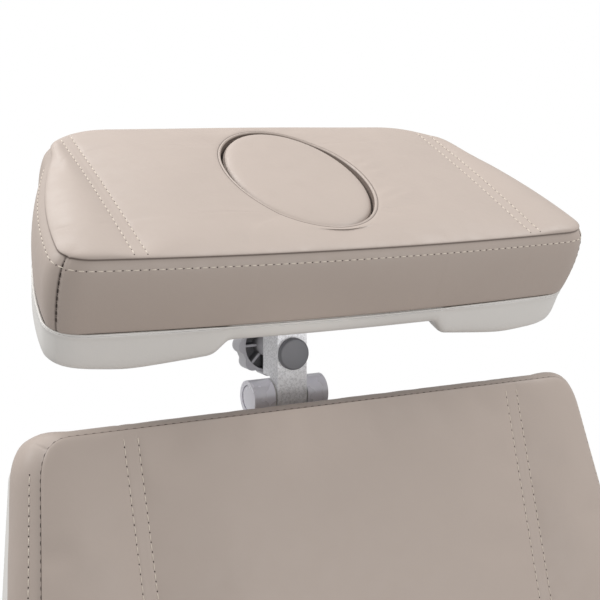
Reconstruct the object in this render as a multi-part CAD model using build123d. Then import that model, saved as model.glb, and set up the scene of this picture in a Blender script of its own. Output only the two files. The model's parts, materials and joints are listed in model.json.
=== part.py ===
from build123d import *
import math
import os

# Treatment chair with an articulated headrest. Millimetres and degrees.
# Origin on the floor at the centre of the whole chair's plan; +X to the occupant's left,
# +Y towards the head end, +Z up. Places below are laid out from a working datum that lies
# plan_centre in front of that origin, and every part is moved by it when it is written.

# ---- driving dimensions -------------------------------------------------------------------
plan_centre = 45.79        # working datum to the centre of the chair's plan, along Y
seat_height = 580.0
seat_front = -270.0
crease_y = 230.0           # where the seat plane meets the backrest face
seat_half_width = 300.0
seat_thickness = 78.0
back_angle = 70.6          # backrest face above horizontal
back_length = 700.0        # crease to top edge
back_below_crease = 95.0
back_shoulder = 500.0      # above this the sides draw in
back_thickness = 68.0
back_gap = 10.0            # seat cushion to backrest face
recline_depth = 88.0       # recline axis below the seat plane and behind the face
leg_angle = 55.0           # leg section below horizontal
leg_length = 400.0
leg_thickness = 60.0
leg_hinge = (-292.0, 495.5)
board_thickness = 12.0
tube_depth = 25.0

pivot_above_back = 18.9    # headrest lower axis above the backrest's top edge
pivot_behind_face = 100.4
link_length = 86.5
link_lean = 1.7
link_half_width = 15.6
headrest_angle = 22.6
headrest_forward = 139.1   # lower axis forward to the headrest's front edge
headrest_rise = 162.1
headrest_half_width = 260.0
headrest_depth = 242.0
headrest_thickness = 72.4
face_hole = (66.9, 93.6)
face_hole_v = 127.5
knuckle_radius = 17.15
knuckle_end = 39.6
hinge_pin_radius = 6.0

column_y = 40.0
column_sizes = (90.0, 80.0, 70.0)
column_wall = 6.0
plate_top = 30.0
head_plate_bottom = 395.0
tilt_axis = (150.0, 435.0)
rail = ((200.0, 230.0), (415.0, 455.0))
actuator_x = 165.0
actuator_z = 427.0
arm_x = 330.0
arm_pivot = (190.0, 745.0)
bore_clearance = 0.05
axle_radius = 8.0

# ---- derived places -----------------------------------------------------------------------
back_rad = math.radians(back_angle)
recline_axis = (
    crease_y + recline_depth * math.tan(back_rad / 2),
    seat_height - recline_depth,
)
back_plane = Plane(
    origin=(0, crease_y, seat_height),
    x_dir=(1, 0, 0),
    z_dir=(0, -math.sin(back_rad), math.cos(back_rad)),
)
leg_rad = math.radians(leg_angle)
leg_plane = Plane(
    origin=(0, leg_hinge[0], leg_hinge[1]),
    x_dir=(-1, 0, 0),
    z_dir=(0, -math.sin(leg_rad), math.cos(leg_rad)),
)
leg_face = seat_height - leg_hinge[1]
pivot_s = back_length + pivot_above_back
lower_axis = back_plane.from_local_coords(Vector(0, pivot_s, -pivot_behind_face))
lean = math.radians(link_lean)
link_plane = Plane(origin=lower_axis, x_dir=(1, 0, 0), z_dir=(0, -math.cos(lean), math.sin(lean)))
upper_axis = link_plane.from_local_coords(Vector(0, link_length, 0))
tilt = math.radians(headrest_angle)
headrest_plane = Plane(
    origin=lower_axis + Vector(0, -headrest_forward, headrest_rise),
    x_dir=(1, 0, 0),
    z_dir=(0, -math.sin(tilt), math.cos(tilt)),
)
upper_local = headrest_plane.to_local_coords(upper_axis)
board_n = (-back_thickness - board_thickness, -back_thickness)
frame_n = (board_n[0] - tube_depth, board_n[0])


# ---- shape helpers ------------------------------------------------------------------------
def block(x, y, z):
    """A box between low and high values on each axis."""
    size = Box(x[1] - x[0], y[1] - y[0], z[1] - z[0])
    return Pos((x[0] + x[1]) / 2, (y[0] + y[1]) / 2, (z[0] + z[1]) / 2) * size


def rod_x(radius, x, y, z):
    return Pos((x[0] + x[1]) / 2, y, z) * Rot(0, 90, 0) * Cylinder(radius, x[1] - x[0])


def rod_y(radius, x, y, z):
    return Pos(x, (y[0] + y[1]) / 2, z) * Rot(90, 0, 0) * Cylinder(radius, y[1] - y[0])


def rod_z(radius, x, y, z):
    return Pos(x, y, (z[0] + z[1]) / 2) * Cylinder(radius, z[1] - z[0])


def rounded(x, y, z, radius):
    """A box with its four upright edges rounded."""
    return fillet(block(x, y, z).edges().filter_by(Axis.Z), radius)


def prism(points, low, high, radius=0.0):
    """A polygon in XY pushed from low to high in Z, with equal corner rounding."""
    face = make_face(Polyline(*points, close=True))
    if radius:
        face = fillet(face.vertices(), radius)
    return Pos(0, 0, low) * extrude(face, high - low)


def side_plate(points, x):
    """A polygon given as (y, z) points, pushed from x[0] to x[1]."""
    face = make_face(Polyline(*[(y, z) for y, z in points], close=True))
    turned = Plane(origin=(x[0], 0, 0), x_dir=(0, 1, 0), z_dir=(1, 0, 0)) * face
    return extrude(turned, x[1] - x[0], dir=(1, 0, 0))


def oval(half_x, half_y, low, high, centre_y=0.0):
    return Pos(0, centre_y, low) * extrude(Ellipse(half_x, half_y), high - low)


def pair(shape):
    """A shape and its mirror image across the middle plane."""
    return shape + mirror(shape, Plane.YZ)


def in_back(shape):
    return back_plane.location * shape


def in_leg(shape):
    return leg_plane.location * shape


def in_link(shape):
    return link_plane.location * shape


def in_headrest(shape):
    return headrest_plane.location * shape


# ---- base ---------------------------------------------------------------------------------
base_half_width = 240.0
base_y = (-350.0, 400.0)
base_top = 105.0
foot_places = [(x, y) for x in (-205, 205) for y in (-310, 350)]
cover_wall = 3.0
cover_y = (-164.0, 142.0)
cover_half_width = 112.0
pedal_axis = (360.0, 52.0)


def base_plate():
    plate = rounded((-225, 225), (-335, 385), (plate_top - 10, plate_top), 45)
    for x, y in foot_places:
        plate -= rod_z(6.2, x, y, (0, plate_top + 5))
    y, z = pedal_axis
    bracket = block((174, 182), (y - 12, y + 12), (plate_top, z + 12))
    return plate + pair(bracket - rod_x(5, (170, 186), y, z))


def base_cover():
    corner = 60
    outer = rounded((-base_half_width, base_half_width), base_y, (plate_top, base_top), corner)
    outer = fillet(outer.faces().sort_by(Axis.Z)[-1].edges(), 25)
    wall = 4
    inner = rounded(
        (-base_half_width + wall, base_half_width - wall),
        (base_y[0] + wall, base_y[1] - wall),
        (plate_top - 1, base_top - wall),
        corner - wall,
    )
    inner = fillet(inner.faces().sort_by(Axis.Z)[-1].edges(), 21)
    gap = 2
    opening = rounded(
        (-cover_half_width - gap, cover_half_width + gap),
        (cover_y[0] - gap, cover_y[1] + gap),
        (base_top - 20, base_top + 5),
        20,
    )
    slot = block((-176, 176), (base_y[1] - 10, base_y[1] + 5), (34, 74))
    socket = block((-base_half_width - 5, -base_half_width + 10), (-101, -64), (49, 81))
    return outer - inner - opening - slot - socket


def foot_pads():
    pads = [fillet(rod_z(26, x, y, (0, 12)).edges(), 2) for x, y in foot_places]
    return Part() + pads


def levelling_studs():
    studs = Part()
    for x, y in foot_places:
        stud = rod_z(6, x, y, (12, 50)) + rod_z(14, x, y, (12, 16))
        nut = Pos(x, y, plate_top) * extrude(RegularPolygon(10, 6), 9)
        studs += stud + nut
    return studs


def square_tube(half, z):
    outer = rounded((-half, half), (column_y - half, column_y + half), z, 10)
    bore = half - column_wall
    return outer - rounded((-bore, bore), (column_y - bore, column_y + bore), (z[0] - 1, z[1] + 1), 5)


def glides(half, z):
    """Four flat pads that line the mouth of a tube whose bore is half wide."""
    thick = 3.9
    x_pad = block((half - thick, half), (column_y - 40, column_y + 40), z)
    y_pad = block((-40, 40), (column_y + half - thick, column_y + half), z)
    y_low = block((-40, 40), (column_y - half, column_y - half + thick), z)
    return pair(x_pad) + y_pad + y_low


def column_cover(step, z):
    """One of three nested covers; each next one out is a wall and a gap larger."""
    grow = step * (cover_wall + 1.5)
    x = cover_half_width + grow
    y = (cover_y[0] - grow, cover_y[1] + grow)
    outer = rounded((-x, x), y, z, 22 + grow)
    inner = rounded(
        (-x + cover_wall, x - cover_wall),
        (y[0] + cover_wall, y[1] - cover_wall),
        (z[0] - 1, z[1] + 1),
        22 + grow - cover_wall,
    )
    return outer - inner


def sleeve(outer, inner, z):
    return rod_z(outer, 0, column_y, z) - rod_z(inner, 0, column_y, (z[0] - 1, z[1] + 1))


def lift_actuator_housing():
    """The fixed stage of the lift drive, standing on its flat gearbox."""
    gearbox = rounded((-60, 60), (column_y - 60, column_y + 60), (plate_top, plate_top + 18), 8)
    return gearbox + sleeve(34, 28.1, (plate_top + 18, 325))


def control_box():
    box = rounded((-90, 90), (-320, -190), (plate_top, 84), 6)
    return fillet(box.faces().sort_by(Axis.Z)[-1].edges(), 3)


def power_inlet():
    body = block((-base_half_width - 3, -206), (-100, -65), (50, 80))
    recess = block((-base_half_width - 4, -222), (-94, -71), (56, 74))
    pins = [rod_x(2, (-238, -222), y, 65) for y in (-88, -82.5, -77)]
    return body - recess + pins


def pedal_shaft():
    return rod_x(5, (-186, 186), *pedal_axis)


def pedal(x):
    y, z = pedal_axis
    half = 38
    boss = rod_x(11, (x - half, x + half), y, z)
    arm = block((x - half, x + half), (y, y + 110), (z - 5, z + 4))
    pad = block((x - half, x + half), (y + 56, y + 118), (z - 8, z + 10))
    pad = fillet(pad.edges().filter_by(Axis.X), 6)
    return boss + arm + pad - rod_x(5 + bore_clearance, (x - half - 1, x + half + 1), y, z)


# ---- lift head and tilt -------------------------------------------------------------------
tilt_rod_y = -128.0
tilt_pin_z = 434.0
cross_tubes_y = (-220.0, tilt_rod_y, tilt_axis[0])


def lift_head():
    plate = rounded((-126, 126), (-178, 176), (head_plate_bottom, head_plate_bottom + 10), 24)
    plate -= rod_z(12.6, 0, tilt_rod_y, (head_plate_bottom - 5, head_plate_bottom + 15))
    y, z = tilt_axis
    ear = block((106, 114), (y - 22, y + 22), (head_plate_bottom + 10, z))
    ear += rod_x(14, (106, 114), y, z)
    return plate + pair(ear + rod_x(axle_radius, (106, 130), y, z))


def tilt_actuator_body():
    top = head_plate_bottom
    body = rod_z(24, 0, tilt_rod_y, (255, top)) + block((-20, 20), (-150, -106), (222, 262))
    return body - rod_z(12.1, 0, tilt_rod_y, (268, top + 1))


def tilt_actuator_rod():
    y, z = tilt_rod_y, tilt_pin_z
    rod = rod_z(12, 0, y, (272, z - 11.5))
    eye = fillet(block((-8, 8), (y - 17, y + 24), (z - 12, z + 12)).edges().filter_by(Axis.X), 6)
    slot = block((-9, 9), (y - 1.2, y + 8.4), (z - 5.7, z + 5.7))
    ends = rod_x(5.7, (-9, 9), y - 1.2, z) + rod_x(5.7, (-9, 9), y + 8.4, z)
    return rod + eye - slot - ends


# ---- seat ---------------------------------------------------------------------------------
def hinge_plate(axis, foot, x):
    """A plate with a round eye on a hinge axis, running down to a foot on the rail."""
    y, z = axis
    web = side_plate(foot, x)
    return web + rod_x(18, x, y, z) - rod_x(axle_radius, (x[0] - 2, x[1] + 2), y, z)


def seat_frame():
    (x0, x1), (z0, z1) = rail
    frame = pair(block((x0, x1), (-262, 318), (z0, z1)))
    for y in cross_tubes_y:
        frame += block((-x1, x1), (y - 17.5, y + 17.5), (z1, seat_height - seat_thickness - board_thickness))
    ears_x = (x1, x1 + 8)
    ry, rz = recline_axis
    rear_foot = [(ry - 16, rz), (ry - 16, z0), (ry + 26, z0), (ry + 16, rz)]
    frame += pair(hinge_plate(recline_axis, rear_foot, ears_x))
    ly, lz = leg_hinge
    front_foot = [
        (ly - 12, lz - 12),
        (ly + 34, z0),
        (ly + 92, z0),
        (ly + 92, z1),
        (ly + 26, z1 + 16),
        (ly + 12, lz + 12),
    ]
    frame += pair(hinge_plate(leg_hinge, front_foot, ears_x))
    y, z = tilt_axis
    hanger = block((118, 126), (y - 17, y + 17), (z - 4, z1)) + rod_x(14, (118, 126), y, z)
    frame += pair(hanger - rod_x(axle_radius + bore_clearance, (116, 128), y, z))
    lug = block((9.5, 15), (tilt_rod_y - 12, tilt_rod_y + 12), (tilt_pin_z - 8, z1))
    return frame + pair(lug) + rod_x(5, (-15, 15), tilt_rod_y, tilt_pin_z)


def seat_board():
    top = seat_height - seat_thickness
    return rounded((-270, 270), (-262, 182), (top - board_thickness, top), 30)


def seat_cushion():
    top, bottom = seat_height, seat_height - seat_thickness
    rear_top = crease_y - back_gap / math.sin(back_rad)
    rear_bottom = rear_top - seat_thickness / math.tan(back_rad)
    profile = [(seat_front, bottom), (rear_bottom, bottom), (rear_top, top), (seat_front, top)]
    body = side_plate(profile, (-seat_half_width, seat_half_width))
    front_corners = body.edges().filter_by(Axis.Z).group_by(Axis.Y)[0]
    body = fillet(front_corners, 38)
    return fillet(body.faces().sort_by(Axis.Z)[-1].edges().group_by(Axis.Y)[0], 14)


def seat_side_covers():
    panel = block((246, 250), (-255, 160), (412, 488))
    panel = fillet(panel.edges().filter_by(Axis.X), 18)
    ledge = block((232, 247), (-200, 120), (476, 480))
    return pair(panel + ledge)


def axle_pins():
    """The identical plain pins of the back, leg and armrest hinges, all held by the seat side."""
    pins = Part()
    for axis in (recline_axis, leg_hinge):
        pins += rod_x(axle_radius, (206, 241), *axis) + rod_x(12, (238, 242), *axis)
    return pair(pins + rod_x(axle_radius, (arm_x - 21, arm_x + 21), *arm_pivot))


def actuator_body(x, y, mouth):
    """A linear drive lying along Y: a tube with its motor slung under the closed end."""
    body = rod_y(26, x, y, actuator_z)
    closed = y[0] if mouth == y[1] else y[1] - 60
    motor = rounded((x - 24, x + 24), (closed, closed + 60), (actuator_z - 62, actuator_z), 10)
    saddle = block((x - 15, x + 15), (tilt_rod_y - 15, tilt_rod_y + 15), (actuator_z, rail[1][1]))
    bore = (y[0] + 30, y[1] + 1) if mouth == y[1] else (y[0] - 1, y[1] - 30)
    return body + motor + saddle - rod_y(12.1, x, bore, actuator_z)


def back_actuator_body():
    return actuator_body(actuator_x, (-160, 150), 150)


def leg_actuator_body():
    return actuator_body(-actuator_x, (-212, 100), -212)


def slotted_eye(x, y, pin_z):
    """A rod end whose upright slot lets a lever pin rise and fall as the lever swings."""
    travel = 7.5
    slot_radius = 7.6
    eye_half = travel + 13
    eye = block((x - 7.5, x + 7.5), (y - 14, y + 14), (pin_z - eye_half, pin_z + eye_half))
    eye = fillet(eye.edges().filter_by(Axis.X), 8)
    span = (x - 9, x + 9)
    slot = block(span, (y - slot_radius, y + slot_radius), (pin_z - travel, pin_z + travel))
    for z in (pin_z - travel, pin_z + travel):
        slot += rod_x(slot_radius, span, y, z)
    return eye - slot


def lever(x, axis, length, angle):
    """Two swing plates and a cross pin, angle measured from straight down towards +Y."""
    y, z = axis
    turn = math.radians(angle)
    pin = (y + length * math.sin(turn), z - length * math.cos(turn))
    side = (11 * math.cos(turn), 11 * math.sin(turn))
    outline = [
        (y - side[0], z - side[1]),
        (pin[0] - side[0], pin[1] - side[1]),
        (pin[0] + side[0], pin[1] + side[1]),
        (y + side[0], z + side[1]),
    ]
    plates = Part()
    for low in (x - 19, x + 13):
        span = (low, low + 6)
        plates += side_plate(outline, span) + rod_x(11, span, *pin)
    return plates + rod_x(6, (x - 19, x + 19), *pin)


back_lever = (70.0, 32.5)
leg_lever = (72.0, 22.5)
eye_z = 429.3


def lever_pin_y(axis, arm):
    return axis[0] + arm[0] * math.sin(math.radians(arm[1]))


def back_actuator_rod():
    y = lever_pin_y(recline_axis, back_lever)
    return rod_y(12, actuator_x, (62, y - 10), actuator_z) + slotted_eye(actuator_x, y, eye_z)


def leg_actuator_rod():
    y = lever_pin_y(leg_hinge, leg_lever)
    return rod_y(12, -actuator_x, (y + 10, -20), actuator_z) + slotted_eye(-actuator_x, y, eye_z)


# ---- backrest -----------------------------------------------------------------------------
def back_outline(grow, bottom, top):
    """Backrest outline: parallel below, drawing in towards the top corners."""
    x_low = seat_half_width + grow
    x_top = 268 + grow
    return [
        (-x_low, bottom),
        (x_low, bottom),
        (x_low, back_shoulder),
        (x_top, top),
        (-x_top, top),
        (-x_low, back_shoulder),
    ]


def back_form(grow, bottom, top, low, high, radius):
    """The backrest outline pushed from low to high, its shoulders eased into a long curve."""
    face = make_face(Polyline(*back_outline(grow, bottom, top), close=True))
    shoulders = [v for v in face.vertices() if abs(v.Y - back_shoulder) < 1]
    face = fillet(shoulders, 600)
    corners = [v for v in face.vertices() if min(abs(v.Y - bottom), abs(v.Y - top)) < 1]
    face = fillet(corners, radius)
    return Pos(0, 0, low) * extrude(face, high - low)


def back_cushion():
    body = back_form(0, -back_below_crease, back_length, -back_thickness, 0, 28)
    return in_back(fillet(body.faces().sort_by(Axis.Z)[-1].edges(), 8))


def back_board():
    return in_back(back_form(-18, -18, back_length - 18, *board_n, 20))


def torque_tube(axis):
    tube = rod_x(16, (-226, 226), *axis)
    bore = rod_x(axle_radius + bore_clearance, (200, 230), *axis)
    return tube - pair(bore)


def back_frame():
    tubes = pair(block((177.5, 202.5), (-62, 640), frame_n))
    for s in (40, 330):
        tubes += block((-190, 190), (s - 15, s + 15), frame_n)
    frame = in_back(tubes) + torque_tube(recline_axis) + lever(actuator_x, recline_axis, *back_lever)
    bore = rod_x(axle_radius + bore_clearance, (200, 230), *recline_axis)
    return frame - pair(bore)


def shell_depth_edges(body):
    return body.faces().sort_by(Axis.Z)[0].edges()


def back_shell():
    low, rim, wall = -130, -70, 3
    outer = back_form(2.5, -24, back_length - 6, low, rim, 28)
    outer = fillet(shell_depth_edges(outer), 24)
    inner = back_form(2.5 - wall, -24 + wall, back_length - 6 - wall, low + wall, rim + 1, 25)
    inner = fillet(shell_depth_edges(inner), 21)
    mouth = block((-48, 48), (back_length - 40, back_length + 5), (-124, rim + 1))
    notches = pair(block((174, 206), (-30, -18), (frame_n[0] - 3, rim + 1)))
    return in_back(outer - inner - mouth - notches)


def shell_caps():
    """Round caps over the screws in the sides of the backrest shell."""
    caps = [rod_x(9, (302.6, 305.6), 470 - 290 * row, -98) for row in (0, 1)]
    return in_back(pair(Part() + caps))


def post_guide():
    middle = -pivot_behind_face
    flange = block((-177, 177), (500, 570), (board_n[0] - 4, board_n[0]))
    body = block((-36, 36), (430, 672), (middle - 17, board_n[0]))
    clear = 0.1
    channel = block((-25 - clear, 25 + clear), (420, 680), (middle - 8 - clear, middle + 8 + clear))
    return in_back(flange + body - channel)


# ---- headrest support ---------------------------------------------------------------------
def knuckles(y, z, neck_z, neck_y):
    """Two round hinge barrels with recessed ends about (y, z), each standing on a neck."""
    near = link_half_width + 1.7
    shape = rod_x(knuckle_radius, (near, knuckle_end), y, z) + block((near, knuckle_end), neck_y, neck_z)
    shape -= rod_x(hinge_pin_radius + bore_clearance, (near - 1, knuckle_end + 1), y, z)
    return pair(shape - rod_x(12.5, (knuckle_end - 3, knuckle_end + 1), y, z))


def hinge_pins():
    """Two through pins with flat round heads sunk in the barrels' ends."""
    pins = Part()
    for axis in (lower_axis, upper_axis):
        head = fillet(rod_x(11.8, (36.6, 39.0), axis.Y, axis.Z).edges().group_by(Axis.X)[-1], 0.6)
        pins += rod_x(hinge_pin_radius, (-36.6, 36.6), axis.Y, axis.Z) + pair(head)
    return pins


def hinge_washers():
    washers = Part()
    for axis in (lower_axis, upper_axis):
        ring = rod_x(16, (link_half_width, link_half_width + 1.6), axis.Y, axis.Z)
        washers += pair(ring - rod_x(hinge_pin_radius, (10, 20), axis.Y, axis.Z))
    return washers


def at_lower(shape):
    return Pos(*lower_axis) * Rot(back_angle - 90, 0, 0) * shape


def headrest_post():
    head = block((-knuckle_end, knuckle_end), (-14, 14), (-36, -20.5))
    head = fillet(head.edges().filter_by(Axis.Y), 4)
    bar = block((-25, 25), (-8, 8), (-345, -34))
    return at_lower(knuckles(0, 0, (-26, 0), (-12, 12)) + head + bar)


def link_bar():
    """The flat bar between the two headrest axes, with a chamfered upper back."""
    x = (-link_half_width, link_half_width)
    front, rear = 17.2, -15.0
    profile = [
        (19, rear),
        (19, front),
        (link_length - 4, front),
        (link_length - 4, -9),
        (link_length - 19, rear),
    ]
    body = side_plate(profile, x)
    body += side_plate([(0, 0), (0, front), (20, front), (20, 0)], x)
    root = [(link_length - 5, -16), (link_length - 5, 16), (link_length, 16), (link_length, -16)]
    body += side_plate(root, x)
    body += rod_x(front, x, 0, 0) + rod_x(16.6, x, link_length, 0)
    bore = hinge_pin_radius
    body -= rod_x(bore, (-20, 20), 0, 0) + rod_x(bore, (-20, 20), link_length, 0)
    return body


lock_q = link_length / 2


def headrest_link():
    return in_link(link_bar() - rod_z(6, 0, lock_q, (-20, 20)))


def lock_bolt():
    shaft = rod_z(6, 0, lock_q, (-44, 17.2))
    return in_link(shaft + rod_z(10, 0, lock_q, (17.2, 20.2)))


def lock_cap():
    cap = rod_z(15.4, 0, lock_q, (17.2, 23.2))
    cap = fillet(cap.edges().group_by(Axis.Z)[-1], 2)
    return in_link(cap - rod_z(10.1, 0, lock_q, (17, 20.3)))


def lock_knob():
    """A star grip with a hollow, ribbed front and a hub that runs up to the bar."""
    lobes, grip = 8, (-53.0, -35.0)
    star = Circle(28)
    ribs = Part()
    for i in range(lobes):
        turn = Rot(0, 0, i * 360 / lobes)
        star += turn * Pos(23.5, 0) * Circle(8.5)
        ribs += turn * block((8, 26), (-1.2, 1.2), (grip[0] + 2, grip[1] - 2))
    star = fillet(star.vertices(), 3)
    body = Pos(0, 0, grip[0]) * extrude(star, grip[1] - grip[0])
    body = chamfer(body.edges().group_by(Axis.Z)[0], 1.5)
    body = body - rod_z(25, 0, 0, (grip[0] + 5, grip[1] + 1)) + ribs
    hub = rod_z(12, 0, 0, (grip[0] + 2, -15.4))
    body += hub
    body -= rod_z(6 + bore_clearance, 0, 0, (-45, -10))
    return in_link(Pos(0, lock_q, 0) * body)


# ---- headrest -----------------------------------------------------------------------------
def headrest_outline(inset):
    """Wide front edge, sides drawing in towards the rear, slightly bowed ends."""
    front, rear = headrest_half_width - inset, 214 - inset
    return [
        (-front, 3 + inset),
        (0, inset),
        (front, 3 + inset),
        (rear, headrest_depth - 7 - inset),
        (0, headrest_depth - inset),
        (-rear, headrest_depth - 7 - inset),
    ]


def headrest_form(inset, low, high):
    """The headrest outline pushed from low to high, with small front and large rear corners."""
    face = make_face(Polyline(*headrest_outline(inset), close=True))
    corners = [v for v in face.vertices() if abs(v.X) > 1]
    front = [v for v in corners if v.Y < headrest_depth / 2]
    face = fillet(front, 24)
    rear = [v for v in face.vertices() if v.Y > headrest_depth - 20 - inset and abs(v.X) > 100]
    face = fillet(rear, 46)
    return Pos(0, 0, low) * extrude(face, high - low)


def headrest_cushion():
    body = headrest_form(0, -headrest_thickness, 0)
    body = fillet(body.faces().sort_by(Axis.Z)[-1].edges(), 8)
    gap = 1.5
    hole = oval(face_hole[0] + gap, face_hole[1] + gap, -headrest_thickness - 1, 1, face_hole_v)
    return in_headrest(body - hole)


def face_plug():
    plug = oval(*face_hole, -headrest_thickness + 3, -2, face_hole_v)
    return in_headrest(fillet(plug.faces().sort_by(Axis.Z)[-1].edges(), 6))


shell_rim = -headrest_thickness - 0.6
shell_floor = -91.0
lobe_floor = -110.0


def shell_form(inset, rim):
    """Tray under the cushion with a deeper lobe at each side."""
    tray = headrest_form(4 + inset, shell_floor + inset, rim)
    lobe = block((117 + inset, 252), (-5, 250), (lobe_floor + inset, shell_floor + inset))
    lobe = fillet(lobe.edges().filter_by(Axis.Y).group_by(Axis.X)[0].group_by(Axis.Z)[0], 8)
    lobes = pair(lobe) & headrest_form(8 + inset, lobe_floor, shell_floor + 10)
    return tray + lobes


def headrest_shell():
    body = shell_form(0, shell_rim) - shell_form(3, shell_rim + 1)
    body -= oval(face_hole[0] - 7, face_hole[1] - 7, shell_floor - 1, shell_floor + 5, face_hole_v)
    return in_headrest(body)


def headrest_bracket():
    top = shell_floor
    plate = rounded((-105, 105), (18, 218), (top - 6, top), 20)
    plate -= oval(face_hole[0] - 7, face_hole[1] - 11, top - 7, top + 1, face_hole_v)
    v, w = upper_local.Y, upper_local.Z
    plate += block((-105, 105), (v - 16, v + 16), (top - 6, top))
    plate += knuckles(v, w, (w, top - 5), (v - 12, v + 12))
    return in_headrest(plate)


# ---- leg section --------------------------------------------------------------------------
def leg_outline(inset, start):
    near, far = 290 - inset, 238 - inset
    end = leg_length - inset
    return [(-near, start), (near, start), (far, end), (-far, end)]


def leg_cushion():
    body = prism(leg_outline(0, 8), leg_face - leg_thickness, leg_face, 30)
    return in_leg(fillet(body.faces().sort_by(Axis.Z)[-1].edges(), 8))


def leg_board():
    top = leg_face - leg_thickness
    return in_leg(prism(leg_outline(18, 42), top - board_thickness, top, 16))


def leg_frame():
    high = leg_face - leg_thickness - board_thickness
    tubes = pair(block((177.5, 202.5), (0, 372), (high - tube_depth, high)))
    for u in (150, 345):
        tubes += block((-190, 190), (u - 12.5, u + 12.5), (high - tube_depth, high))
    frame = in_leg(tubes) + torque_tube(leg_hinge) + lever(-actuator_x, leg_hinge, *leg_lever)
    return frame - pair(rod_x(axle_radius + bore_clearance, (200, 230), *leg_hinge))


def leg_shell():
    rim, low, wall = leg_face - leg_thickness - 2, -36, 3
    outer = prism(leg_outline(2, 34), low, rim, 28)
    outer = fillet(shell_depth_edges(outer), 20)
    inner = prism(leg_outline(2 + wall, 34 + wall), low + wall, rim + 1, 25)
    inner = fillet(shell_depth_edges(inner), 17)
    tube_low = rim + 2 - board_thickness - tube_depth
    notches = pair(block((174, 206), (30, 40), (tube_low - 3, rim + 1)))
    return in_leg(outer - inner - notches)


# ---- armrests -----------------------------------------------------------------------------
def armrest_post():
    y, z = arm_pivot
    foot = block((rail[0][1], arm_x + 14), (y - 15, y + 15), (rail[1][0] + 3, rail[1][0] + 27))
    tube = rod_z(14, arm_x, y, (rail[1][0] + 20, z - 40))
    yoke = fillet(block((arm_x - 19, arm_x + 19), (y - 18, y + 18), (z - 44, z - 24)).edges(), 3)
    ears = Part()
    for x in (arm_x - 19, arm_x + 12):
        ears += block((x, x + 7), (y - 16, y + 16), (z - 30, z)) + rod_x(16, (x, x + 7), y, z)
    return foot + tube + yoke + ears - rod_x(axle_radius, (arm_x - 25, arm_x + 25), y, z)


def armrest_bar():
    y, z = arm_pivot
    x = (arm_x - 11.5, arm_x + 11.5)
    boss = rod_x(17, x, y, z)
    bar = block(x, (y - 300, y + 4), (z - 3, z + 17))
    bar = fillet(bar.edges().filter_by(Axis.X), 4)
    return boss + bar - rod_x(axle_radius + bore_clearance, (x[0] - 1, x[1] + 1), y, z)


def armrest_pad():
    y, z = arm_pivot
    pad = rounded((arm_x - 18, arm_x + 46), (y - 320, y - 24), (z + 17, z + 49), 28)
    return fillet(pad.faces().sort_by(Axis.Z)[-1].edges(), 12)


def flipped(shape):
    return mirror(shape, Plane.YZ)


lift = {
    "column_outer": square_tube(column_sizes[0], (plate_top, 330)),
    "column_middle": square_tube(column_sizes[1], (50, 350)),
    "column_inner": square_tube(column_sizes[2], (70, head_plate_bottom)),
    "outer_glides": glides(column_sizes[0] - column_wall, (290, 328)),
    "middle_glides": glides(column_sizes[1] - column_wall, (310, 348)),
    "column_cover_lower": column_cover(0, (plate_top, 330)),
    "column_cover_middle": column_cover(1, (165, 350)),
    "column_cover_upper": column_cover(2, (185, head_plate_bottom)),
    "lift_actuator_housing": lift_actuator_housing(),
    "lift_actuator_sleeve": sleeve(28, 20.1, (52, 345)),
    "lift_actuator_rod": rod_z(20, 0, column_y, (60, head_plate_bottom)),
}
parts = {
    **lift,
    "base_plate": base_plate(),
    "base_cover": base_cover(),
    "foot_pads": foot_pads(),
    "levelling_studs": levelling_studs(),
    "control_box": control_box(),
    "power_inlet": power_inlet(),
    "pedal_shaft": pedal_shaft(),
    "pedal_lift": pedal(-129),
    "pedal_back": pedal(-43),
    "pedal_leg": pedal(43),
    "pedal_tilt": pedal(129),
    "lift_head": lift_head(),
    "tilt_actuator_body": tilt_actuator_body(),
    "tilt_actuator_rod": tilt_actuator_rod(),
    "seat_frame": seat_frame(),
    "seat_board": seat_board(),
    "seat_cushion": seat_cushion(),
    "seat_side_covers": seat_side_covers(),
    "axle_pins": axle_pins(),
    "back_actuator_body": back_actuator_body(),
    "back_actuator_rod": back_actuator_rod(),
    "leg_actuator_body": leg_actuator_body(),
    "leg_actuator_rod": leg_actuator_rod(),
    "back_cushion": back_cushion(),
    "back_board": back_board(),
    "back_frame": back_frame(),
    "back_shell": back_shell(),
    "shell_caps": shell_caps(),
    "post_guide": post_guide(),
    "headrest_post": headrest_post(),
    "headrest_link": headrest_link(),
    "lock_bolt": lock_bolt(),
    "lock_cap": lock_cap(),
    "lock_knob": lock_knob(),
    "hinge_pins": hinge_pins(),
    "hinge_washers": hinge_washers(),
    "headrest_bracket": headrest_bracket(),
    "headrest_shell": headrest_shell(),
    "headrest_cushion": headrest_cushion(),
    "face_plug": face_plug(),
    "leg_cushion": leg_cushion(),
    "leg_board": leg_board(),
    "leg_frame": leg_frame(),
    "leg_shell": leg_shell(),
    "armrest_posts": pair(armrest_post()),
    "armrest_bar_left": armrest_bar(),
    "armrest_bar_right": flipped(armrest_bar()),
    "armrest_pad_left": armrest_pad(),
    "armrest_pad_right": flipped(armrest_pad()),
}

os.makedirs("parts", exist_ok=True)
for name, shape in parts.items():
    export_step(Pos(0, -plan_centre, 0) * shape, f"parts/{name}.step")
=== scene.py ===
import json
import math
from collections import namedtuple

import bmesh
import bpy
from mathutils import Matrix, Vector
from mathutils.bvhtree import BVHTree


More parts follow.
